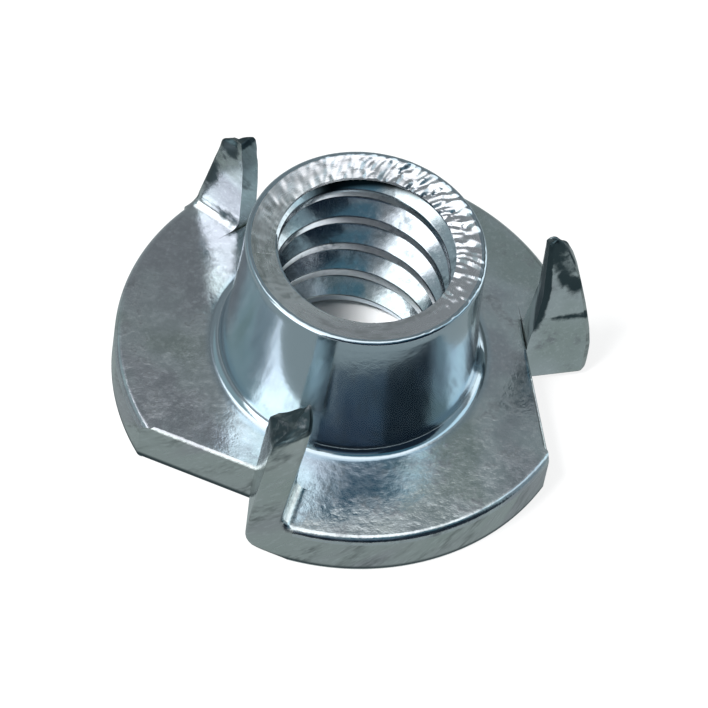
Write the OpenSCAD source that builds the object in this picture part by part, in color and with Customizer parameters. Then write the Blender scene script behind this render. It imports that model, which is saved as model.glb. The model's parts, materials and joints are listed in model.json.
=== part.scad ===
// Three-prong tee nut, pressed and drawn from one piece of steel strip.
// Frame: Z runs up the threaded barrel, the flange's flat underside is at z = 0,
// and the first of the three straight cuts in the flange faces +X.

/* [Flange] */
// Diameter of the round flange
flange_d = 13.7; // [13:0.1:16]
// Thickness of the strip, which is the flange's thickness
flange_t = 1.5; // [1.2:0.05:1.7]
// Distance from the nut's axis to each straight cut
cut_x = 5.25; // [5.1:0.05:5.4]
// Radius that the punch leaves on the flange's upper edge
edge_r = 0.25; // [0.1:0.05:0.3]

/* [Barrel] */
// Height from the underside to the rim
height = 6.35; // [6:0.05:8]
// Outside diameter at the rim
rim_d = 6.95; // [6.8:0.05:7.3]
// Outside diameter where the barrel would meet the flange without its fillet
root_d = 7.6; // [7.4:0.05:8.2]
// Radius of the fillet between barrel and flange
root_fillet = 0.35; // [0.2:0.05:0.6]
// Rounding of the rim's outer edge
rim_r = 0.2; // [0.1:0.05:0.3]

/* [Hole] */
// Diameter of the tapping hole, the minor diameter of a 1/4-20 thread
bore_d = 5; // [5:0.05:5.3]
// Depth to which the rim's face dishes in towards the hole
dish_h = 0.2; // [0.1:0.05:0.3]
// Width of that dished face
dish_w = 0.7; // [0.4:0.05:0.7]
// Radius of the drawn mouth in the underside
mouth_r = 0.6; // [0.4:0.1:1]

/* [Prongs] */
// Number of prongs, each standing at one end of its straight cut
prong_count = 3; // [2:1:3]
// Height of a prong's tip above the underside
prong_h = 5.85; // [5.2:0.05:6]
// Distance from the cut's middle to a prong's outer face, where that face meets the underside's plane
face_y = 0.66; // [0.5:0.02:0.8]
// Angle by which the outer face leans back over the flange
lean = 7.6; // [6:0.2:9]
// Angle by which the outer face turns away from square to the cut
face_turn = 5; // [0:1:8]
// Distance from the cut's middle to a prong's upright inner face, halfway along the prong's root
back_y = 0.72; // [0.7:0.01:0.9]
// Angle by which the inner face turns away from square to the cut
back_turn = 12; // [0:1:15]
// Radius outside the bend, under the prong
heel_r = 0.6; // [0.4:0.05:0.8]
// Radius inside the bend, between flange and prong
bend_r = 0.45; // [0.3:0.05:0.8]
// Width of the sheared slit between the cut and the prong
slit = 0.1; // [0.05:0.05:0.2]
// Distance from the nut's axis to the prong's widest point, where the bend has swelled it past the flange
horn_x = 7.25; // [7:0.05:7.4]
// Radius of the prong's curved outer edge
horn_r = 12; // [10:0.5:14]
// Radius of the prong's lower outer corner
corner_r = 0.45; // [0.3:0.05:0.6]
// Distance that the tip stands further out than the prong's root
tip_out = 0.15; // [0:0.05:0.3]
// Rounding of the blunted tip
tip_r = 0.1; // [0.05:0.01:0.12]

/* [Hidden] */
$fn = 128;
zinc = "lightsteelblue";

flange_r = flange_d / 2;
rim_rad = rim_d / 2;
root_rad = root_d / 2;
bore_rad = bore_d / 2;
rim_z = height - rim_r;                                    // where the rim's rounding begins
taper = atan((root_rad - rim_rad) / (rim_z - flange_t));   // the barrel wall's angle to the axis
over = 1;                                                  // overshoot of a cutting shape
bend_foot = 1.2;                                           // length of a prong's root inside the flange
near_x = cut_x + slit;                                     // a prong's edge beside the cut
middle_x = (near_x + horn_x) / 2;                          // halfway along a prong's root
bend_y = back_y + bend_r;                                  // where the bend leaves the flange's top
swell_r = 2.2;                                             // round of the swelled bend, seen from above
horn_drop = 0.6;                                           // depth of the outer edge's centre below the underside

// Fills the corner at the origin, between +X and a wall that leans back by `slope`, with a concave round.
module corner_fill(r, slope) {
    centre = [r * (1 - sin(slope)) / cos(slope), r];
    difference() {
        polygon([[0, 0], [centre.x, 0], centre, centre - r * [cos(slope), sin(slope)]]);
        translate(centre) circle(r);
    }
}

// Half section of flange and barrel, with x as the radius and y as the height.
module body_section() {
    difference() {
        union() {
            // flange, with its rolled upper edge
            square([flange_r - edge_r, flange_t]);
            square([flange_r, flange_t - edge_r]);
            translate([flange_r - edge_r, flange_t - edge_r]) circle(edge_r);
            // tapered barrel wall and rounded rim
            polygon([[0, 0], [root_rad, flange_t], [rim_rad, rim_z], [rim_rad - rim_r, height], [0, height]]);
            translate([rim_rad - rim_r, rim_z]) circle(rim_r);
            translate([root_rad, flange_t]) corner_fill(root_fillet, taper);
        }
        hole_section();
    }
}

// What the hole takes out of the half section: drawn mouth, straight tapping bore and dished rim.
module hole_section() {
    translate([-over, -over]) square([bore_rad + over, height + 2 * over]);
    translate([0, -over]) difference() {
        square([bore_rad + mouth_r, mouth_r + over]);
        translate([bore_rad + mouth_r, mouth_r + over]) circle(mouth_r);
    }
    polygon([[0, height - dish_h], [bore_rad, height - dish_h],
             [bore_rad + dish_w, height], [bore_rad + dish_w, height + over], [0, height + over]]);
}

// A prong's outer side seen along its width, with x across the sheet and y as the height: the leaning face
// and the heel's round under it, carried through to the far side of the flange.
module outer_section() {
    face_z = heel_r * (1 + sin(lean));                     // where the heel's round meets the outer face
    face = [-face_y + face_z * tan(lean), face_z];
    heel = [face.x + heel_r * cos(lean), heel_r];
    tip_face = -face_y + prong_h * tan(lean);
    translate(heel) circle(heel_r);
    polygon([[heel.x, 0], [back_y + bend_foot, 0], [back_y + bend_foot, prong_h],
             [tip_face + tip_r, prong_h], [tip_face - tip_r * tan(lean), prong_h - tip_r], face]);
}

// A prong's inner side in the same view: the upright face and the round between it and the flange's top.
module inner_section() {
    polygon([[-face_y - over, 0], [back_y + bend_foot, 0], [back_y + bend_foot, flange_t], [back_y, flange_t],
             [back_y, prong_h - tip_r], [back_y - tip_r, prong_h], [-face_y - over, prong_h]]);
    translate([back_y - tip_r, prong_h - tip_r]) circle(tip_r);
    translate([back_y, flange_t]) corner_fill(bend_r, 0);
}

// Extrudes one of those sections along a prong's width, turned about the middle of the prong's root.
module across_prong(turn) {
    translate([middle_x, 0, 0]) rotate(turn) translate([-flange_r / 2, 0, 0]) rotate([90, 0, 90])
        linear_extrude(flange_r) children();
}

// One prong seen along the flange's edge, with x as the distance from the axis and y as the height.
module prong_outline() {
    intersection() {
        polygon([[near_x, 0], [horn_x, 0], [horn_x, prong_h], [near_x + tip_out, prong_h], [near_x, flange_t]]);
        translate([horn_x - horn_r, -horn_drop]) circle(horn_r);
        union() {
            square([horn_x - corner_r, prong_h]);
            translate([0, corner_r]) square([horn_x, prong_h]);
            translate([horn_x - corner_r, corner_r]) circle(corner_r);
        }
    }
}

// What a prong fits in, seen from above: the round flange, swelled where the bend has pushed the metal out.
module prong_plan() {
    circle(flange_r);
    translate([horn_x - swell_r, 0]) circle(swell_r);
}

// A prong is the common part of its faces, its outline and its plan.
module prong() {
    intersection() {
        across_prong(face_turn) outer_section();
        across_prong(back_turn) inner_section();
        translate([0, flange_r, 0]) rotate([90, 0, 0]) linear_extrude(flange_d) prong_outline();
        linear_extrude(prong_h) prong_plan();
    }
}

// What the straight cut takes out of the flange as far as the bend of one prong.
module straight_cut() {
    translate([cut_x, -flange_r, -over]) cube([flange_r, flange_r + bend_y, flange_t + 2 * over]);
}

module tee_nut() {
    color(zinc) {
        difference() {
            rotate_extrude() body_section();
            for (i = [0 : prong_count - 1]) rotate(i * 360 / prong_count) straight_cut();
        }
        for (i = [0 : prong_count - 1]) rotate(i * 360 / prong_count) prong();
    }
}

tee_nut();
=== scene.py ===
import json
import math

import bmesh
import bpy
from mathutils import Matrix, Quaternion, Vector, noise


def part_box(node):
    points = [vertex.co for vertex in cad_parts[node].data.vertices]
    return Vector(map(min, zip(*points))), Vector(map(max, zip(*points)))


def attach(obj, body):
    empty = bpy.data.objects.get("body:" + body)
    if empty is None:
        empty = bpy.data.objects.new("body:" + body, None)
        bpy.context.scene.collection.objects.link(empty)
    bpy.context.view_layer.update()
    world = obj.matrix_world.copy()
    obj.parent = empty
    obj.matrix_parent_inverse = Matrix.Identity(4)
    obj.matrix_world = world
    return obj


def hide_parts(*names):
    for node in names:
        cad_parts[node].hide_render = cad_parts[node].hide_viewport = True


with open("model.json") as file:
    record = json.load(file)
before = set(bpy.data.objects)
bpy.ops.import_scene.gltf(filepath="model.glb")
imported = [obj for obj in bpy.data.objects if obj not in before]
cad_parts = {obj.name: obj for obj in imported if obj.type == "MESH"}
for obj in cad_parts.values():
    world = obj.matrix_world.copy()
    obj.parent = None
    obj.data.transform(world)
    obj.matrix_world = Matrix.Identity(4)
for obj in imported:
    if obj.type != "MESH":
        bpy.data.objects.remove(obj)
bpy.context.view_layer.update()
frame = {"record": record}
scene = bpy.context.scene

# ---------------------------------------------------------------------------
# Flange and barrel: one round blank of steel strip with the barrel drawn up from
# its middle. The blanking die rolled the flange's upper edge, and the punch left
# the rim rough and a little crushed. Lengths are in mm until the nut is finished.

MM = 0.001
mounts = {m["name"]: m for m in frame["record"]["mounts"]}
nut_lo, nut_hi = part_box("tee_nut")
height = nut_hi.z / MM
flange_r = -nut_lo.x / MM
flange_t = mounts["flange_seat"]["pos_m"][2] / MM
bore_r = mounts["thread"]["dims"]["r_mm"]

mouth_r = 0.6              # round of the drawn mouth in the underside
core_r = bore_r - 0.25     # metal left inside for the tap
dish_h = 0.15              # how far the rim's face dishes in towards the hole
dish_w = 0.8               # and how wide that face is
lip_t = 0.12               # lip that the punch closed over the thread's end
lip_r = bore_r + 0.1       # hole that the lip leaves open
lip_sag = 0.02             # how far the lip's edge hangs below the thread's end
core_sag = 0.03            # the same at the metal left for the tap
rim_rad = 3.475
rim_round = 0.12
root_rad = 3.8             # barrel wall carried down to the flange
root_fillet = 0.35
flare_power = 1.75         # how late the wall turns outwards on its way down
edge_roll = 0.22           # round of the flange's upper edge
edge_burr = 0.1            # round of its lower edge
wall_rings = 16
face_rings = 14            # rings across the rim's face
fillet_steps = 10
roll_steps = 8
burr_steps = 3
spin_steps = 360


def arc(centre, radius, start, end, steps):
    """Points on a circle in the half section, from start to end degrees."""
    angles = [math.radians(start + (end - start) * i / steps) for i in range(steps + 1)]
    return [(centre[0] + radius * math.cos(a), centre[1] + radius * math.sin(a)) for a in angles]


def between(first, last, count):
    """Points that divide a straight stretch of the section, without its ends."""
    return [(first[0] + (last[0] - first[0]) * k / count, first[1] + (last[1] - first[1]) * k / count)
            for k in range(1, count)]


def wall(z):
    """Radius of the barrel's wall, upright at the rim and flaring towards the flange."""
    top = height - rim_round
    return rim_rad + (root_rad - rim_rad) * ((top - z) / (top - flange_t)) ** flare_power


def half_section():
    """The blank's half section as a closed ring of (radius, height)."""
    top = height - rim_round
    flare = math.atan(flare_power * (root_rad - rim_rad) / (top - flange_t))
    fillet = (root_rad + root_fillet * (1 - math.sin(flare)) / math.cos(flare), flange_t + root_fillet)
    ring = [(core_r, mouth_r)]
    ring += arc((bore_r + mouth_r, mouth_r), mouth_r, 180, 270, fillet_steps)
    ring += arc((flange_r - edge_burr, edge_burr), edge_burr, 270, 360, burr_steps)
    ring += arc((flange_r - edge_roll, flange_t - edge_roll), edge_roll, 0, 90, roll_steps)
    ring += arc(fillet, root_fillet, 270, 180 + math.degrees(flare), fillet_steps)
    foot = ring[-1][1]
    climb = [foot + (top - foot) * k / wall_rings for k in range(1, wall_rings)]
    ring += [(wall(z), z) for z in climb]
    ring += arc((rim_rad - rim_round, top), rim_round, 0, 90, roll_steps)
    outside = (bore_r + dish_w, height)
    lip = (lip_r, height - dish_h)
    under = height - dish_h - lip_t
    ring += [outside] + between(outside, lip, face_rings)
    ring += [lip, (lip_r, under - lip_sag), (core_r, under - core_sag)]
    return ring


nut = bmesh.new()
section = [nut.verts.new((r, 0, z)) for r, z in half_section()]
ring_edges = [nut.edges.new((a, b)) for a, b in zip(section, section[1:] + section[:1])]
bmesh.ops.spin(nut, geom=section + ring_edges, cent=(0, 0, 0), axis=(0, 0, 1), dvec=(0, 0, 0),
               angle=math.tau, steps=spin_steps, use_merge=True, use_duplicate=False)
bmesh.ops.remove_doubles(nut, verts=nut.verts, dist=1e-4)
bmesh.ops.recalc_face_normals(nut, faces=nut.faces)

# The flange's wall is bare sheared metal, and the rim's face is crushed.
SKIN, SHEAR, RIM, THREAD = range(4)
for face in nut.faces:
    middle = face.calc_center_median()
    on_wall = edge_burr < middle.z < flange_t - edge_roll
    if on_wall and middle.xy.length > flange_r - 0.05:
        face.material_index = SHEAR
    elif middle.z > height - dish_h - lip_t and middle.xy.length < bore_r + dish_w:
        face.material_index = RIM

# Radial dabs that the punch's stop left in the rim, deepest on one side, with pits between them.
dab_count = 74
dab_depth = 0.05
dab_slant = 1.5            # dabs that a radial line crosses in a mm
dab_wander = 5             # how far a dab strays from its place, in radians of one dab
wander_scale = 9
clean_share = 0.12         # depth left on the best side
worn_from = 0.42           # where the worse half begins, and over how much it deepens
worn_over = 0.45
worn_scale = 3.1
worn_level = 0.5           # depth that wear leaves on average, and how far it varies
worn_swing = 0.8
sink = 0.015               # shallow hollows on the better side
pit_depth = 0.07
pit_length = 0.3
pit_rate = 1.6             # pits to a dab
pit_level = 0.45
edge_fade = 0.3            # clean strip along the rim's outer edge
worst_side = math.radians(15)


def clamp(value):
    """The value, held between 0 and 1."""
    return min(1.0, max(0.0, value))


for v in nut.verts:
    radius = v.co.xy.length
    if v.co.z < height - dish_h - 0.01 or radius < lip_r - 0.01:
        continue
    angle = math.atan2(v.co.y, v.co.x)
    side = 0.5 + 0.5 * math.cos(angle - worst_side)
    share = clean_share + (1 - clean_share) * clamp((side - worn_from) / worn_over)
    turn = angle * dab_count / math.tau + dab_slant * (radius - bore_r)
    round_rim = Vector((math.cos(angle), math.sin(angle), 0)) * wander_scale
    wander = noise.noise(round_rim + Vector((0, 0, radius)))
    ridge = 0.5 + 0.5 * math.sin(math.tau * turn + dab_wander * wander)
    patchy = noise.noise(Vector((v.co.x, v.co.y, 0)) * worn_scale)
    worn = max(0.0, worn_level + worn_swing * patchy)
    pit = noise.noise(Vector((pit_rate * turn, radius / pit_length, 0.5)))
    fade = clamp((rim_rad - radius) / edge_fade)
    v.co.z -= dab_depth * share * ridge * worn * fade + sink * (1 - side) * fade * worn
    v.co.z -= pit_depth * share * (pit + pit_level) * fade

# ---------------------------------------------------------------------------
# Prongs: three segments of the flange, each sheared free along a straight cut
# and bent up at one end of it. Shearing left their edges rough and their tips
# blunt, and no two were bent quite alike.

cut_x = 5.25               # straight cut, from the axis
guard = 0.14               # clear strip along the sheared edges, for their rounding
edge_soft = 0.1            # rounding of the sheared edges
soft_run = 0.4             # over which that rounding dies out towards a prong
soft_stations = 6          # and over which it comes back up the prong's near edge
flat_stations = 2
bend_stations = 10
blade_stations = 26
tip_stations = 3
tip_round = 0.1
ragged_stations = 7
ragged_edge = 0.09         # how far the blunted tip strays from a clean cut
ragged_size = 0.4
tear_seed = 1              # picks one pattern for the ragged tips
cap_rings = 4
columns = 12               # cuts across a prong's width
rows = 9                   # cuts through its thickness at the near edge
wall_piece = 0.25          # length of the pieces that the cut's wall is divided into
swell_r = 2.2              # round of the swelled bend, seen from above
slit = 0.01                # least distance between the cut and a prong's near edge
far_share = 0.93           # share of the width where the far edge's sheared wall begins
touch = 1e-4               # places this close are the same place
clear = 1e-3               # and this far past a plane is beyond it
across = nut.verts.layers.float.new("across")
outer = nut.verts.layers.float.new("outer")
# Share of painted shade and dark reflection kept on each point of a prong, which the material turns near
# black
painted_shade = nut.verts.layers.float.new("painted_shade")
crease = nut.edges.layers.float.new("bevel_weight_edge")


def once(items):
    """These items in their order, without repeats."""
    return list(dict.fromkeys(items))


def points_of(edges):
    """The points at the ends of these edges."""
    return once(v for e in edges for v in e.verts)


def cut(faces, point, normal):
    """Splits these faces along a plane."""
    geom = faces + once(e for f in faces for e in f.edges) + once(v for f in faces for v in f.verts)
    bmesh.ops.bisect_plane(nut, geom=geom, dist=1e-5, plane_co=point, plane_no=normal)


def reach(face, axis):
    """Lowest and highest place of a face along one axis."""
    values = [v.co[axis] for v in face.verts]
    return min(values), max(values)


def open_edges():
    """The edges at which the metal still lacks a face."""
    return [e for e in nut.edges if len(e.link_faces) == 1]


def on_cut(edge):
    """Whether an edge lies in the plane of the straight cut."""
    return all(abs(v.co.x - cut_x) < touch for v in edge.verts)


def is_idle(v):
    """Whether a point only divides a straight edge."""
    if len(v.link_edges) != 2:
        return False
    first, last = (e.other_vert(v).co for e in v.link_edges)
    return abs(sum(e.calc_length() for e in v.link_edges) - (first - last).length) < 1e-5


def blend(pair, share):
    """Value at this share of the way from the first of a pair to the second."""
    return pair[0] + (pair[1] - pair[0]) * share


def along(profile, z):
    """Value at height z on the line through the points (height, value)."""
    if z <= profile[0][0]:
        return profile[0][1]
    for (z0, v0), (z1, v1) in zip(profile, profile[1:]):
        if z <= z1:
            t = (z - z0) / (z1 - z0)
            return v0 + (v1 - v0) * t
    return profile[-1][1]


def hump(value, centre, half):
    """Smooth hump, 1 at the centre and 0 beyond half its width."""
    t = min(1.0, abs(value - centre) / half)
    return (1 - t * t) ** 2


def inner_path(prong, s):
    """Points (y, z) up the prong's inner side at share s of its width."""
    foot = blend(prong["inner_foot"], s)
    tip = blend(prong["inner_tip"], s)
    tip_z = blend(prong["inner_top"], s) + prong["crown"] * 4 * s * (1 - s)
    root_y, bend_r = prong["root"], prong["bend"]
    start = foot + bend_r
    path = [(root_y + (start - root_y) * k / flat_stations, flange_t) for k in range(1, flat_stations + 1)]
    for k in range(1, bend_stations + 1):
        a = math.pi / 2 * k / bend_stations
        path.append((start - bend_r * math.sin(a), flange_t + bend_r * (1 - math.cos(a))))
    return path + between(path[-1], (tip, tip_z), blade_stations) + [(tip, tip_z)]


def outer_path(prong, s):
    """Points (y, z) up the prong's outer side at share s of its width."""
    foot = blend(prong["outer_foot"], s)
    tip = blend(prong["outer_tip"], s)
    tip_z = blend(prong["outer_top"], s) + prong["crown"] * 4 * s * (1 - s)
    root_y, heel_r = prong["root"], prong["heel"]
    lean = math.atan2(tip - foot, tip_z)
    face_z = heel_r * (1 + math.sin(lean))
    face_y = foot + face_z * math.tan(lean)
    heel_y = face_y + heel_r * math.cos(lean)
    flat, heel = root_y - heel_y, heel_r * (math.pi / 2 + lean)
    path = []
    count = flat_stations + bend_stations
    for k in range(1, count + 1):
        run = (flat + heel) * k / count
        if run <= flat:
            path.append((root_y - run, 0))
        else:
            a = (run - flat) / heel_r
            path.append((heel_y - heel_r * math.sin(a), heel_r * (1 - math.cos(a))))
    return path + between(path[-1], (tip, tip_z), blade_stations) + [(tip, tip_z)]


def shear_blank(root_y):
    """Takes the metal between the straight cut and a prong's root away and closes the cut's wall."""
    inside, beyond = cut_x - guard, root_y + guard
    for x in (inside, cut_x):
        crossed = [f for f in nut.faces if reach(f, 0)[1] > x + clear and reach(f, 1)[0] < beyond - clear]
        cut(crossed, (x, 0, 0), (1, 0, 0))
    for y in (root_y, beyond):
        crossed = [f for f in nut.faces if f.calc_center_median().x > inside
                   and reach(f, 1)[0] < y - clear and reach(f, 1)[1] > y + clear]
        cut(crossed, (0, y, 0), (0, 1, 0))
    scrap = [f for f in nut.faces if f.calc_center_median().x > cut_x and f.calc_center_median().y < root_y]
    bmesh.ops.delete(nut, geom=scrap, context="FACES")
    for level in (0, flange_t):
        flat = [f for f in nut.faces if all(abs(v.co.z - level) < touch for v in f.verts)
                and f.calc_center_median().x > inside and f.calc_center_median().y < beyond]
        bmesh.ops.dissolve_faces(nut, faces=flat)
    bmesh.ops.dissolve_verts(nut, verts=[v for v in nut.verts if is_idle(v)])
    loop = open_edges()
    corners = [v for v in points_of(loop) if abs(v.co.x - cut_x) < touch and abs(v.co.y - root_y) < touch]
    upright = nut.edges.new(corners)
    wall_loop = [e for e in loop if on_cut(e)]
    cut_wall = bmesh.ops.contextual_create(nut, geom=wall_loop + [upright])["faces"]
    for face in cut_wall:
        face.material_index = SHEAR
    for edge in wall_loop:
        if edge.calc_length() > 1:
            bmesh.ops.subdivide_edges(nut, edges=[edge], cuts=int(edge.calc_length() / wall_piece))
    for edge in nut.edges:
        heights = [v.co.z for v in edge.verts]
        if on_cut(edge) and max(heights) - min(heights) < touch:
            soft = clamp((root_y - soft_run - max(v.co.y for v in edge.verts)) / soft_run)
            edge[crease] = soft if heights[0] > edge_burr else 0.5 * soft
    loop = open_edges()
    long_edges = [e for e in loop if e.calc_length() > 0.5 and e is not upright]
    bmesh.ops.subdivide_edges(nut, edges=long_edges, cuts=columns)
    bmesh.ops.subdivide_edges(nut, edges=[e for e in loop if e.calc_length() > 0.5], cuts=rows)
    wide_faces = [f for f in nut.faces if len(f.verts) > 12 and f not in cut_wall]
    bmesh.ops.triangulate(nut, faces=wide_faces, quad_method="BEAUTY", ngon_method="BEAUTY")
    return open_edges()


def drawn_on(loop):
    """Extrudes an open loop, and returns the new loop with the faces and the edges between the two."""
    made = bmesh.ops.extrude_edge_only(nut, edges=loop)["geom"]
    edges = [g for g in made if isinstance(g, bmesh.types.BMEdge)]
    faces = [g for g in made if isinstance(g, bmesh.types.BMFace)]
    return [e for e in edges if len(e.link_faces) == 1], faces, [e for e in edges if len(e.link_faces) == 2]


def bend_up(prong, loop):
    """Bends a prong up from its root, station by station, and returns the loop at its tip."""
    edge_x = math.sqrt(flange_r ** 2 - prong["root"] ** 2)
    for v in points_of(loop):
        v[across] = (v.co.x - cut_x) / (edge_x - cut_x)
        v[outer] = 1 - v.co.z / flange_t
    stations = flat_stations + bend_stations + blade_stations
    for station in range(stations):
        loop, faces, sides = drawn_on(loop)
        for face in faces:
            shares = [v[across] for v in face.verts]
            depths = [v[outer] for v in face.verts]
            on_edge = max(shares) < clear or min(shares) > far_share
            if on_edge and max(depths) - min(depths) > clear:
                face.material_index = SHEAR
        ragged = max(0.0, (station - stations + ragged_stations) / ragged_stations) * ragged_edge
        opening = min(1.0, (station + 1) / (flat_stations + bend_stations)) ** 2
        for v in points_of(loop):
            y0, z0 = inner_path(prong, v[across])[station]
            y1, z1 = outer_path(prong, v[across])[station]
            v.co.y = y0 + (y1 - y0) * v[outer]
            v.co.z = z0 + (z1 - z0) * v[outer]
            # Dents also lay painted shade and dark reflection on the metal, kept as a share on each point
            v[painted_shade] = 0
            for share, z, half_share, half_z, depth, side, darkening in prong["dents"]:
                here = hump(v[across], share, half_share) * hump(v.co.z, z, half_z)
                here *= v[outer] if side else 1 - v[outer]
                v.co.y += depth * here * (1 if side else -1)
                v[painted_shade] = max(v[painted_shade], darkening * here)
            v.co += noise.noise_vector(v.co / ragged_size + Vector((prong["root"], 0, 7))) * ragged
            swell = math.sqrt(max(0.0, swell_r ** 2 - v.co.y ** 2))
            plan = max(math.sqrt(flange_r ** 2 - v.co.y ** 2), prong["widest"] - swell_r + swell)
            far = min(plan, along(prong["far"], v.co.z))
            near = cut_x + slit + (along(prong["near"], v.co.z) - cut_x - slit) * opening
            v.co.x = near + (far - near) * v[across]
        for edge in sides:
            if all(v[across] < clear and min(v[outer], 1 - v[outer]) < clear for v in edge.verts):
                edge[crease] = min(1.0, station / soft_stations)
    return loop


def blunt_tip(prong, loop):
    """Rounds a prong's tip over, closes it with a rough cap, and marks the tip for painted shade."""
    tip_points = points_of(loop)
    # Painted shade: the blunt tip is marked dark
    for v in tip_points:
        v[painted_shade] = max(v[painted_shade], prong["tip_shade"])
    middle = sum((v.co for v in tip_points), Vector()) / len(tip_points)
    for k in range(1, tip_stations + 1):
        a = math.pi / 2 * k / tip_stations
        loop = drawn_on(loop)[0]
        for v in points_of(loop):
            inward = middle - v.co
            inward.z = 0
            v.co += inward.normalized() * min(tip_round / tip_stations, 0.4 * inward.length)
            v.co.z += tip_round * (math.sin(a) - math.sin(a - math.pi / 2 / tip_stations))
    tip_points = points_of(loop)
    middle = sum((v.co for v in tip_points), Vector()) / len(tip_points)
    for ring in range(cap_rings):
        loop = drawn_on(loop)[0]
        for v in points_of(loop):
            v.co += (middle - v.co) / (cap_rings + 1 - ring)
            v.co.z += noise.noise(v.co / ragged_size) * 0.5 * ragged_edge
    cap = bmesh.ops.contextual_create(nut, geom=loop)["faces"]
    for v in bmesh.ops.poke(nut, faces=cap)["verts"]:
        v[painted_shade] = prong["tip_shade"]


# A prong's outer and inner sides are given by their y at the near and far end of its width, at the root
# and at the tip, with the heights of the tip's near and far corners and how far the tip is crowned between
# them. The near and far edges are given by height, and each prong gives its tip a share of painted shade.
# A dent has its share of the width, its height, half its width and height, its depth, its side (1 is the
# outer one), and the share of painted shade and dark reflection it lays there; one of no depth only paints.
horn = [(0.0, 6.8), (0.06, 7.0), (0.2, 7.12), (0.45, 7.18), (0.9, 7.21), (1.4, 7.19), (2.0, 7.1),
        (2.6, 6.97), (3.1, 6.85), (3.7, 6.69), (4.3, 6.52), (4.8, 6.34), (5.2, 6.15), (5.6, 5.95),
        (5.9, 5.75)]
slim = [(0.0, 6.7), (0.2, 6.82), (0.6, 6.9), (1.1, 6.89), (1.5, 6.87), (1.8, 6.82), (2.2, 6.72),
        (3.0, 6.51), (4.0, 6.26), (5.0, 6.01), (5.9, 5.8)]
straight = [(0.0, 6.75), (0.2, 6.84), (0.6, 6.88), (1.4, 6.88), (2.2, 6.8), (3.0, 6.68), (3.7, 6.55),
            (4.3, 6.4), (4.8, 6.25), (5.2, 6.1), (5.9, 5.75)]
prongs = [
    dict(root=1.1, heel=0.3, bend=0.25, crown=0.18, widest=7.22, tip_shade=0.6,
         outer_foot=(-0.62, -0.49), outer_tip=(0.2, 0.2), outer_top=(5.62, 5.42),
         inner_foot=(0.5, 0.8), inner_tip=(0.55, 0.6), inner_top=(5.4, 5.2),
         near=[(0, 5.26), (1.5, 5.26), (2.6, 5.42), (3.5, 5.52), (5.2, 5.47), (5.9, 5.46)], far=horn,
         dents=[(0.55, 4.25, 0.4, 0.7, 0.05, 1, 0.85), (0.85, 3.9, 0.4, 0.6, 0.09, 1, 0.9),
                (0.75, 2.6, 0.8, 0.3, 0.05, 1, 1.0), (0.5, 5.3, 1.6, 2.0, 0.0, 1, 0.72),
                (0.0, 4.2, 0.25, 2.7, 0.03, 1, 2.2), (0.0, 4.0, 0.3, 2.8, 0.0, 0, 0.6)]),
    dict(root=0.95, heel=0.6, bend=0.3, crown=0.0, widest=6.88, tip_shade=0.7,
         outer_foot=(-0.92, -0.45), outer_tip=(-0.6, -0.1), outer_top=(4.5, 4.5),
         inner_foot=(0.45, 0.6), inner_tip=(0.6, 0.86), inner_top=(5.85, 5.25),
         near=[(0, 5.26), (1.5, 5.26), (5.9, 5.5)], far=straight,
         dents=[(0.5, 4.9, 2.0, 1.7, 0.0, 1, 0.75), (0.5, 5.9, 2.0, 1.1, 0.0, 0, 0.7)]),
    dict(root=0.85, heel=0.6, bend=0.3, crown=0.0, widest=7.05, tip_shade=0.6,
         outer_foot=(-0.8, -0.6), outer_tip=(-0.1, -0.05), outer_top=(5.65, 4.95),
         inner_foot=(0.05, 0.45), inner_tip=(0.45, 0.6), inner_top=(5.62, 5.45),
         near=[(0, 5.26), (1.6, 5.26), (3.6, 5.12), (4.6, 5.1), (5.9, 5.22)], far=slim,
         dents=[(0.6, 5.7, 0.9, 1.7, 0.06, 0, 1.0), (1.0, 3.4, 0.55, 2.0, 0.0, 0, 0.85),
                (0.5, 1.75, 2.0, 0.5, 0.0, 0, 0.52)]),
]
third_turn = Matrix.Rotation(math.tau / 3, 3, "Z")
noise.seed_set(tear_seed)
for prong in prongs:
    tip_loop = bend_up(prong, shear_blank(prong["root"]))
    blunt_tip(prong, tip_loop)
    bmesh.ops.rotate(nut, verts=nut.verts, cent=(0, 0, 0), matrix=third_turn)
bmesh.ops.recalc_face_normals(nut, faces=nut.faces)

# ---------------------------------------------------------------------------
# Thread: cut by a tap through the drawn bore, from the countersink at the rim to
# the rounded mouth. The tap here is a threaded rod that is taken out of the metal.

thread_pitch = 1.27
groove_depth = 0.52
crest_half = 0.18          # half the flat that the tapping hole left on the crests
crest_round = 0.06
root_round = 0.1
thread_lift = 0.2          # sets how far round the last turn comes out under the rim
turn_steps = 144
turns = math.ceil(height / thread_pitch) + 3


def thread_profile():
    """One pitch of the thread as (height, radius), crest to crest, with flanks 60 degrees apart."""
    crest = [(crest_half - crest_round * (1 - math.sin(math.radians(a))),
              bore_r + crest_round * (1 - math.cos(math.radians(a)))) for a in range(0, 61, 12)]
    run = (groove_depth - crest[-1][1] + bore_r - 0.5 * root_round) * math.tan(math.radians(30))
    foot = (crest[-1][0] + run, bore_r + groove_depth - 0.5 * root_round)
    half = [(0, bore_r)] + crest + [foot, (foot[0] + 0.4 * root_round, foot[1] + 0.35 * root_round),
                                    (foot[0] + root_round, foot[1] + 0.5 * root_round)]
    return half + [(thread_pitch - z, r) for z, r in reversed(half)]


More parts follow.
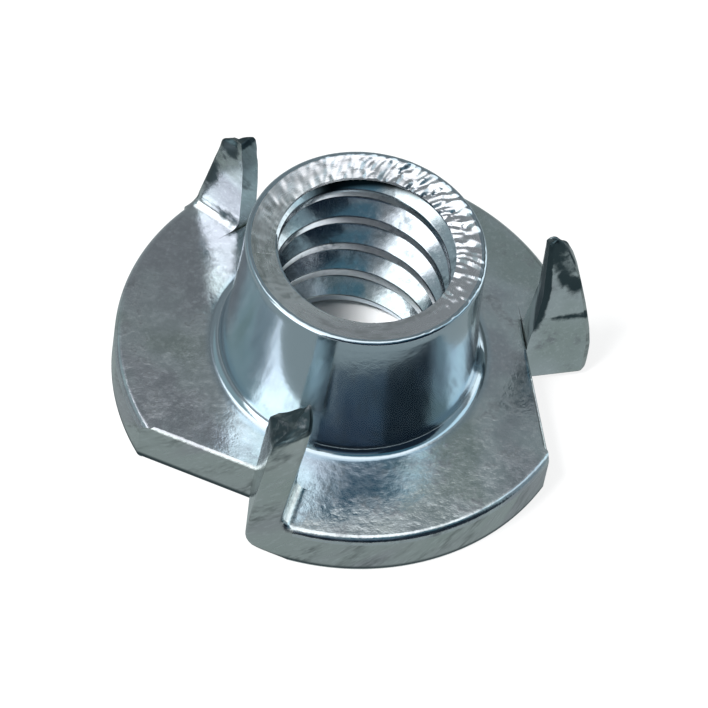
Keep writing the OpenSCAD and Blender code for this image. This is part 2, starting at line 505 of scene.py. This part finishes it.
tap = bmesh.new()
profile = [tap.verts.new((r, 0, z - 2 * thread_pitch + thread_lift)) for z, r in thread_profile()]
profile_edges = [tap.edges.new(pair) for pair in zip(profile, profile[1:])]
bmesh.ops.spin(tap, geom=profile + profile_edges, cent=(0, 0, 0), axis=(0, 0, 1),
               dvec=(0, 0, thread_pitch / turn_steps), angle=math.tau * turns, steps=turn_steps * turns,
               use_duplicate=False)
bmesh.ops.remove_doubles(tap, verts=tap.verts, dist=clear)
for level, side in ((-0.6 * thread_pitch, -1), (height - dish_h - lip_t, 1)):
    geom = [*tap.verts, *tap.edges, *tap.faces]
    bmesh.ops.bisect_plane(tap, geom=geom, dist=touch, plane_co=(0, 0, level), plane_no=(0, 0, side),
                           clear_outer=True)
    level_edges = [e for e in tap.edges if all(abs(v.co.z - level) < clear for v in e.verts)]
    bmesh.ops.contextual_create(tap, geom=[e for e in level_edges if len(e.link_faces) == 1])
bmesh.ops.recalc_face_normals(tap, faces=tap.faces)
for face in tap.faces:
    face.material_index = THREAD


def finished(name, shape):
    """Turns a bmesh in mm into an object of that name."""
    mesh = bpy.data.meshes.new(name)
    shape.to_mesh(mesh)
    shape.free()
    piece = bpy.data.objects.new(name, mesh)
    scene.collection.objects.link(piece)
    return piece


rod = finished("tap_rod", tap)
blank = finished("pressed_nut", nut)
for name in ("zinc_skin", "zinc_shear", "zinc_rim", "zinc_thread"):
    material = bpy.data.materials.new(name)
    rod.data.materials.append(material)
    blank.data.materials.append(material)
rounding = blank.modifiers.new("rounded_edges", "BEVEL")
rounding.limit_method = "WEIGHT"
rounding.width = edge_soft
rounding.segments = 3
rounding.use_clamp_overlap = False
tapping = blank.modifiers.new("tapping", "BOOLEAN")
tapping.operation = "DIFFERENCE"
tapping.solver = "EXACT"
tapping.object = rod
mesh = bpy.data.meshes.new_from_object(blank.evaluated_get(bpy.context.evaluated_depsgraph_get()))
bpy.data.objects.remove(blank)
bpy.data.objects.remove(rod)

# Where the tap only grazed the metal it left slivers, and pairs of faces folded onto each other.
sliver = 2e-3
cleaned = bmesh.new()
cleaned.from_mesh(mesh)
bmesh.ops.remove_doubles(cleaned, verts=cleaned.verts, dist=sliver)
bmesh.ops.dissolve_degenerate(cleaned, dist=sliver, edges=cleaned.edges)
uneven = [face for face in cleaned.faces if len(face.verts) > 4 or face.calc_area() < sliver]
bmesh.ops.triangulate(cleaned, faces=uneven)
by_corners = {}
for face in cleaned.faces:
    by_corners.setdefault(frozenset(face.verts), []).append(face)
folded = [face for twins in by_corners.values() if len(twins) > 1 for face in twins]
bmesh.ops.delete(cleaned, geom=folded, context="FACES")
cleaned.to_mesh(mesh)
cleaned.free()

mesh.name = "pressed_nut"
mesh.transform(Matrix.Scale(MM, 4))
mesh.shade_smooth()
mesh.set_sharp_from_angle(angle=math.radians(38))
pressed_nut = bpy.data.objects.new("pressed_nut", mesh)
scene.collection.objects.link(pressed_nut)
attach(pressed_nut, "root")
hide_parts("tee_nut")

# ---------------------------------------------------------------------------
# Zinc: bright zinc plate over steel with a thin clear passivation film, glossy on
# the drawn barrel, satin and mottled on the flange, dull and streaked where the
# metal was sheared. All four finishes share one group for the plate's mottling.


def feed(tree, socket, given):
    """Gives a socket its value, or joins it to another node's output."""
    if isinstance(given, bpy.types.NodeSocket):
        tree.links.new(given, socket)
    else:
        socket.default_value = given


def value_of(tree, operation, *inputs):
    """Result of a Math node on these numbers or outputs."""
    node = tree.nodes.new("ShaderNodeMath")
    node.operation = operation
    for socket, given in zip(node.inputs, inputs):
        feed(tree, socket, given)
    return node.outputs[0]


def vector_of(tree, operation, *inputs):
    """Result of a Vector Math node, which is a number for a length or a dot product."""
    node = tree.nodes.new("ShaderNodeVectorMath")
    node.operation = operation
    for socket, given in zip(node.inputs, inputs):
        feed(tree, socket, given)
    return node.outputs["Value" if operation in ("LENGTH", "DOT_PRODUCT") else "Vector"]


def step(tree, value, low, high):
    """Smooth step of a value from 0 at low to 1 at high."""
    node = tree.nodes.new("ShaderNodeMapRange")
    node.interpolation_type = "SMOOTHSTEP"
    tree.links.new(value, node.inputs["Value"])
    node.inputs["From Min"].default_value = low
    node.inputs["From Max"].default_value = high
    return node.outputs["Result"]


def mixed(tree, factor, first, second, kind="RGBA"):
    """Mix of two colours or two numbers by a factor."""
    node = tree.nodes.new("ShaderNodeMix")
    node.data_type = kind
    first_slot, second_slot, result_slot = {"RGBA": (6, 7, 2), "FLOAT": (2, 3, 0)}[kind]
    feed(tree, node.inputs[0], factor)
    feed(tree, node.inputs[first_slot], first)
    feed(tree, node.inputs[second_slot], second)
    return node.outputs[result_slot]


def cloud(tree, position, size_mm, detail=3.0, rough=0.55, shift=(0, 0, 0)):
    """Noise with features of about this size."""
    node = tree.nodes.new("ShaderNodeTexNoise")
    node.inputs["Scale"].default_value = 1 / (size_mm * MM)
    node.inputs["Detail"].default_value = detail
    node.inputs["Roughness"].default_value = rough
    tree.links.new(vector_of(tree, "ADD", position, shift), node.inputs["Vector"])
    return node.outputs["Fac"]


plate = bpy.data.node_groups.new("zinc_mottle", "ShaderNodeTree")
plate.interface.new_socket("Position", in_out="INPUT", socket_type="NodeSocketVector")
for name in ("Bright", "Violet", "Green", "Dark"):
    plate.interface.new_socket(name, in_out="INPUT", socket_type="NodeSocketColor")
for name in ("Smooth", "Rough"):
    plate.interface.new_socket(name, in_out="INPUT", socket_type="NodeSocketFloat")
plate.interface.new_socket("Color", in_out="OUTPUT", socket_type="NodeSocketColor")
for name in ("Roughness", "Height"):
    plate.interface.new_socket(name, in_out="OUTPUT", socket_type="NodeSocketFloat")
wanted = plate.nodes.new("NodeGroupInput").outputs
result = plate.nodes.new("NodeGroupOutput").inputs

# The film's tint drifts over millimetres, the plate is darker in specks and has pale flecks.
film = cloud(plate, wanted["Position"], 3.0, 2.0, shift=(0.01, 0.02, 0))
patch = cloud(plate, wanted["Position"], 0.9, 4.0, shift=(0.03, 0, 0.01))
grain = cloud(plate, wanted["Position"], 0.22, 3.0, 0.6, shift=(0, 0.04, 0.02))
fleck = cloud(plate, wanted["Position"], 0.11, 3.0, 0.6, shift=(0.05, 0.01, 0))
fleck_share = 0.3
fleck_colour = (0.86, 0.9, 0.92, 1)
tone = mixed(plate, step(plate, film, 0.38, 0.52), wanted["Violet"], wanted["Bright"])
tone = mixed(plate, step(plate, film, 0.52, 0.66), tone, wanted["Green"])
speck = value_of(plate, "MULTIPLY", step(plate, patch, 0.48, 0.68), step(plate, grain, 0.4, 0.62))
tone = mixed(plate, speck, tone, wanted["Dark"])
fleck = value_of(plate, "MULTIPLY", step(plate, fleck, 0.5, 0.7), fleck_share)
plate.links.new(mixed(plate, fleck, tone, fleck_colour), result["Color"])
dull = value_of(plate, "MULTIPLY_ADD", patch, 0.6, value_of(plate, "MULTIPLY", grain, 0.6))
dull = mixed(plate, step(plate, dull, 0.4, 0.8), wanted["Smooth"], wanted["Rough"], "FLOAT")
plate.links.new(dull, result["Roughness"])
relief = value_of(plate, "MULTIPLY_ADD", grain, 0.3, value_of(plate, "MULTIPLY", patch, 0.7))
plate.links.new(relief, result["Height"])

# Painted shade and dark reflection: a near-black, rougher colour where the mesh marks it.
painted_shade_colour = (0.062, 0.092, 0.104, 1)
painted_shade_rough = 0.4
painted_shade_swing = 1.6           # how unevenly the painted shade is edged
edge_shade_rise = (0.12, 0.26)   # height over which the painted shade along the sheared wall's lower edge ends
dab_stretch = 0.12         # the rim's marks run along its radius
shear_slant = 0.9          # the sheared wall's streaks climb at about 45 degrees
shear_stretch = 0.22


def from_axis(tree, place):
    """Distance of a place from the nut's axis."""
    return vector_of(tree, "LENGTH", vector_of(tree, "MULTIPLY", place, (1, 1, 0)))


def plated(material, bright, violet, green, dark, smooth, rough, depth_mm, streak=""):
    """Gives a material the zinc plate's mottling, painted shade where the mesh marks it, and streaks where
    it was worked.
    """
    material.use_nodes = True
    tree = material.node_tree
    place = tree.nodes.new("ShaderNodeTexCoord").outputs["Object"]
    parts = tree.nodes.new("ShaderNodeSeparateXYZ")
    tree.links.new(place, parts.inputs[0])
    x, y, z = parts.outputs
    run = value_of(tree, "MULTIPLY", value_of(tree, "ARCTAN2", y, x), flange_r * MM)
    pattern = place
    if streak:
        if streak == "around":
            cells = (from_axis(tree, place), value_of(tree, "MULTIPLY", run, dab_stretch))
        else:
            climb = value_of(tree, "MULTIPLY_ADD", run, shear_slant, z)
            slide = value_of(tree, "MULTIPLY_ADD", z, -shear_slant, run)
            cells = (slide, value_of(tree, "MULTIPLY", climb, shear_stretch))
        grid = tree.nodes.new("ShaderNodeCombineXYZ")
        tree.links.new(cells[0], grid.inputs[0])
        tree.links.new(cells[1], grid.inputs[1])
        pattern = grid.outputs[0]
    mottle = tree.nodes.new("ShaderNodeGroup")
    mottle.node_tree = plate
    tree.links.new(pattern, mottle.inputs["Position"])
    for name, colour in (("Bright", bright), ("Violet", violet), ("Green", green), ("Dark", dark)):
        mottle.inputs[name].default_value = (*colour, 1)
    mottle.inputs["Smooth"].default_value = smooth
    mottle.inputs["Rough"].default_value = rough
    # The mesh's marked share of painted shade, given a ragged edge, turns the colour near black.
    darkening = tree.nodes.new("ShaderNodeAttribute")
    darkening.attribute_name = "painted_shade"
    uneven = value_of(tree, "MULTIPLY_ADD", mottle.outputs["Height"], painted_shade_swing, -painted_shade_swing / 2)
    ragged = step(tree, value_of(tree, "ADD", uneven, darkening.outputs["Fac"]), 0.3, 0.7)
    if streak == "sheared":
        # Painted shade: the sheared wall darkens towards its lower edge, standing in for the contact shadow
        # that the metal reflects.
        above_edge_shade = step(tree, z, edge_shade_rise[0] * MM, edge_shade_rise[1] * MM)
        ragged = value_of(tree, "MAXIMUM", ragged, value_of(tree, "SUBTRACT", 1.0, above_edge_shade))
    colour = mixed(tree, ragged, mottle.outputs["Color"], painted_shade_colour)
    dullness = mixed(tree, ragged, mottle.outputs["Roughness"], painted_shade_rough, "FLOAT")
    bsdf = tree.nodes["Principled BSDF"]
    bsdf.inputs["Metallic"].default_value = 1
    tree.links.new(colour, bsdf.inputs["Base Color"])
    tree.links.new(dullness, bsdf.inputs["Roughness"])
    grit = tree.nodes.new("ShaderNodeBump")
    grit.inputs["Strength"].default_value = 1
    grit.inputs["Distance"].default_value = depth_mm * MM
    tree.links.new(mottle.outputs["Height"], grit.inputs["Height"])
    tree.links.new(grit.outputs["Normal"], bsdf.inputs["Normal"])
    return tree, place, bsdf, grit


skin, shear, crushed, tapped = mesh.materials

# The skin, smoother and bluer on the drawn barrel than on the flange.
drawn_to = (4.0, 4.3)      # distance from the axis over which the drawn metal ends
drawn_blue = (0.53, 0.62, 0.685, 1)
drawn_rough = 0.12
drawn_polish = 0.65        # share of the plate's relief that the drawing pressed flat
tree, place, bsdf, grit = plated(skin, (0.66, 0.71, 0.73), (0.56, 0.575, 0.615), (0.53, 0.59, 0.575),
                                 (0.40, 0.42, 0.44), smooth=0.12, rough=0.25, depth_mm=0.022)
outside = step(tree, from_axis(tree, place), drawn_to[0] * MM, drawn_to[1] * MM)
drawn = value_of(tree, "SUBTRACT", 1.0, outside)
for name, kind, there in (("Base Color", "RGBA", drawn_blue), ("Roughness", "FLOAT", drawn_rough)):
    given = bsdf.inputs[name].links[0].from_socket
    tree.links.new(mixed(tree, drawn, given, there, kind), bsdf.inputs[name])
tree.links.new(value_of(tree, "MULTIPLY_ADD", drawn, -drawn_polish, 1.0), grit.inputs["Strength"])

plated(shear, (0.58, 0.62, 0.61), (0.52, 0.52, 0.55), (0.51, 0.57, 0.54),
       (0.26, 0.28, 0.28), smooth=0.26, rough=0.42, depth_mm=0.03, streak="sheared")
plated(crushed, (0.88, 0.91, 0.92), (0.74, 0.74, 0.77), (0.70, 0.74, 0.72),
       (0.50, 0.51, 0.52), smooth=0.16, rough=0.34, depth_mm=0.04, streak="around")

# Painted shade on the thread: its last turn, under the crushed lip, is darkened to near black over one
# stretch round the axis.
shade_colour = (0.02, 0.027, 0.03, 1)
shade_rise = (0.36, 0.26)  # distance below the lip over which the painted shade sets in
shade_at = 1.34            # middle of the dark stretch round the axis, in radians
shade_reach = (0.5, 0.9)   # and how far it goes each way
tree, place, bsdf, grit = plated(tapped, (0.57, 0.63, 0.67), (0.52, 0.55, 0.60), (0.50, 0.58, 0.60),
                                 (0.26, 0.30, 0.33), smooth=0.10, rough=0.24, depth_mm=0.008)
parts = tree.nodes.new("ShaderNodeSeparateXYZ")
tree.links.new(place, parts.inputs[0])
x, y, z = parts.outputs
lip_z = height - dish_h - lip_t
near_lip = step(tree, z, (lip_z - shade_rise[0]) * MM, (lip_z - shade_rise[1]) * MM)
turn = value_of(tree, "ABSOLUTE", value_of(tree, "SUBTRACT", value_of(tree, "ARCTAN2", y, x), shade_at))
aside = value_of(tree, "SUBTRACT", 1.0, step(tree, turn, *shade_reach))
shaded = value_of(tree, "MULTIPLY", near_lip, aside)
given = bsdf.inputs["Base Color"].links[0].from_socket
tree.links.new(mixed(tree, shaded, given, shade_colour), bsdf.inputs["Base Color"])

# ---------------------------------------------------------------------------
# Floor: a plain white surface. Rays from the camera, from metal and from glass
# see it near full white, and the light that falls on it still carries the shadow.

floor_size = 3.0
floor_colour = (0.8, 0.8, 0.8, 1)
floor_glow = 0.85          # share of full white, where the rest is the lit paper
under_barrel = (3.5, 4.5)  # distance from the axis over which the glow sets in, past the bore
plane = bmesh.new()
bmesh.ops.create_grid(plane, x_segments=1, y_segments=1, size=floor_size / 2)
floor_mesh = bpy.data.meshes.new("floor")
plane.to_mesh(floor_mesh)
plane.free()
floor = bpy.data.objects.new("floor", floor_mesh)
scene.collection.objects.link(floor)
paper = bpy.data.materials.new("floor_white")
floor_mesh.materials.append(paper)
paper.use_nodes = True
tree = paper.node_tree
tree.nodes.clear()
lit = tree.nodes.new("ShaderNodeBsdfDiffuse")
lit.inputs["Color"].default_value = floor_colour
glow = tree.nodes.new("ShaderNodeEmission")
rays = tree.nodes.new("ShaderNodeLightPath").outputs
seen = value_of(tree, "MAXIMUM", rays["Is Camera Ray"], rays["Is Transmission Ray"])
seen = value_of(tree, "MAXIMUM", seen, rays["Is Glossy Ray"])
spot = tree.nodes.new("ShaderNodeTexCoord").outputs["Object"]
open_floor = step(tree, vector_of(tree, "LENGTH", spot), under_barrel[0] * MM, under_barrel[1] * MM)
white_share = value_of(tree, "MULTIPLY", open_floor, value_of(tree, "MULTIPLY", seen, floor_glow))
mix = tree.nodes.new("ShaderNodeMixShader")
tree.links.new(white_share, mix.inputs["Fac"])
tree.links.new(lit.outputs[0], mix.inputs[1])
tree.links.new(glow.outputs[0], mix.inputs[2])
surface = tree.nodes.new("ShaderNodeOutputMaterial")
tree.links.new(mix.outputs[0], surface.inputs["Surface"])

# ---------------------------------------------------------------------------
# Camera: looks down on the nut from about 53 degrees, turned a little so that
# the barrel leans to the right.

camera_at = Vector((-24.6, -82.3, 116.6)) * MM
aim = Vector((0.2, 0.0, 1.1)) * MM
view_roll = math.radians(10.3)
focal_length = 250
camera = bpy.data.objects.new("camera", bpy.data.cameras.new("camera"))
scene.collection.objects.link(camera)
camera.data.lens = focal_length
camera.data.clip_start = 0.01
camera.data.clip_end = 10
camera.location = camera_at
camera.rotation_mode = "QUATERNION"
camera.rotation_quaternion = (aim - camera_at).to_track_quat("-Z", "Y") @ Quaternion((0, 0, 1), view_roll)
scene.camera = camera
scene.view_settings.view_transform = "Standard"

# ---------------------------------------------------------------------------
# Studio: one soft lamp above the camera's left, and a room hung with panels of
# different brightness that the metal reflects. The camera sees the room as white.

view_azimuth = math.atan2(camera_at.y, camera_at.x)


def toward(azimuth, elevation):
    """Direction from the nut, with azimuth measured counterclockwise from the camera's side."""
    a = view_azimuth + math.radians(azimuth)
    e = math.radians(elevation)
    return Vector((math.cos(a) * math.cos(e), math.sin(a) * math.cos(e), math.sin(e)))


lamp_size = 0.12
lamp_distance = 0.5
lamp_radiance = 100
lamp_direction = toward(-50, 58)
lamp = bpy.data.lights.new("soft_key", "AREA")
lamp.shape = "RECTANGLE"
lamp.size = lamp_size
lamp.size_y = lamp_size
lamp.energy = lamp_radiance * math.pi * lamp_size * lamp_size
soft_key = bpy.data.objects.new("soft_key", lamp)
scene.collection.objects.link(soft_key)
soft_key.visible_camera = False
soft_key.visible_glossy = False
soft_key.location = lamp_direction * lamp_distance
soft_key.rotation_mode = "QUATERNION"
soft_key.rotation_quaternion = lamp_direction.to_track_quat("Z", "Y")

world = bpy.data.worlds.new("studio")
scene.world = world
world.use_nodes = True
sky = world.node_tree
sky.nodes.clear()
ray = sky.nodes.new("ShaderNodeTexCoord").outputs["Generated"]
side = vector_of(sky, "DOT_PRODUCT", ray, tuple(toward(90, 0)))
front = vector_of(sky, "DOT_PRODUCT", ray, tuple(toward(0, 0)))
lift = vector_of(sky, "DOT_PRODUCT", ray, (0, 0, 1))
around = value_of(sky, "ARCTAN2", side, front)
above = value_of(sky, "ARCSINE", lift)


def panel(base, azimuths, elevations, soft, colour):
    """Lays a soft-edged panel of one colour over the room, between these azimuths and elevations."""
    edge = math.radians(soft) / 2
    masks = []
    for socket, (low, high) in ((around, azimuths), (above, elevations)):
        low, high = math.radians(low), math.radians(high)
        rise = step(sky, socket, low - edge, low + edge)
        fall = step(sky, socket, high - edge, high + edge)
        masks.append(value_of(sky, "SUBTRACT", rise, fall))
    return mixed(sky, value_of(sky, "MULTIPLY", *masks), base, (*colour, 1))


# Each panel's azimuths and elevations from the camera's side, the softness of its edge in degrees, and its
# colour. One lies over those before it.
room = (0.25, 0.28, 0.29, 1)
panels = [
    # grey screens behind the nut
    ((-178, -150), (40, 60), 10, (0.205, 0.23, 0.24)),
    ((160, 200), (40, 62), 10, (0.265, 0.31, 0.325)),
    ((126, 165), (30, 52), 8, (0.11, 0.13, 0.13)),
    ((162, 180), (53, 62), 8, (0.20, 0.24, 0.25)),
    ((-152, -132), (52, 66), 8, (0.42, 0.46, 0.50)),
    # bright ceiling, brightest on the left
    ((-400, 400), (64, 120), 8, (1.5, 1.53, 1.55)),
    ((-132, -12), (54, 70), 6, (1.9, 2.0, 2.05)),
    # grey wall and window on the left
    ((-128, -70), (22, 54), 10, (0.34, 0.44, 0.46)),
    ((-70, -20), (10, 54), 8, (2.5, 2.6, 2.62)),
    # dark screens in front and on the right
    ((4, 96), (50, 72), 8, (0.075, 0.17, 0.225)),
    ((-20, 40), (-10, 46.5), 6, (0.06, 0.10, 0.15)),
    ((-20, 40), (-10, 34), 10, (0.012, 0.02, 0.03)),
    ((38, 82), (-10, 52), 6, (0.012, 0.022, 0.035)),
    ((82, 102), (-10, 56), 6, (0.25, 0.34, 0.38)),
    # windows behind on the right
    ((103, 130), (33, 66), 8, (0.9, 1.15, 1.26)),
    ((130, 150), (50, 66), 10, (0.33, 0.38, 0.40)),
    ((112, 142), (-10, 33), 6, (1.4, 1.5, 1.52)),
]
for azimuths, elevations, soft, colour in panels:
    room = panel(room, azimuths, elevations, soft, colour)
seen = sky.nodes.new("ShaderNodeLightPath").outputs["Is Camera Ray"]
backdrop = sky.nodes.new("ShaderNodeBackground")
sky.links.new(mixed(sky, seen, room, (1, 1, 1, 1)), backdrop.inputs["Color"])
surface = sky.nodes.new("ShaderNodeOutputWorld")
sky.links.new(backdrop.outputs[0], surface.inputs["Surface"])

# Painted reflection: a glowing grey card around the nut, seen only in the metal, so that the metal reflects
# a grey floor instead of the white one.
card_near = 3.4 * MM
card_far = 120 * MM
card_lift = 0.05 * MM
card_steps = 72
card_colour = (0.33, 0.38, 0.385, 1)
card = bmesh.new()
line = [card.verts.new((card_near, 0, card_lift)), card.verts.new((card_far, 0, card_lift))]
strip = card.edges.new(line)
bmesh.ops.spin(card, geom=[*line, strip], cent=(0, 0, 0), axis=(0, 0, 1), dvec=(0, 0, 0),
               angle=math.tau, steps=card_steps, use_merge=True, use_duplicate=False)
card_mesh = bpy.data.meshes.new("grey_card")
card.to_mesh(card_mesh)
card.free()
grey_card = bpy.data.objects.new("grey_card", card_mesh)
scene.collection.objects.link(grey_card)
grey_card.visible_camera = False
grey_card.visible_diffuse = False
grey_card.visible_shadow = False
grey_card.visible_transmission = False
card_glow_material = bpy.data.materials.new("reflected_grey_glow")
card_mesh.materials.append(card_glow_material)
card_glow_material.use_nodes = True
tree = card_glow_material.node_tree
tree.nodes.clear()
glow = tree.nodes.new("ShaderNodeEmission")
glow.inputs["Color"].default_value = card_colour
surface = tree.nodes.new("ShaderNodeOutputMaterial")
tree.links.new(glow.outputs[0], surface.inputs["Surface"])
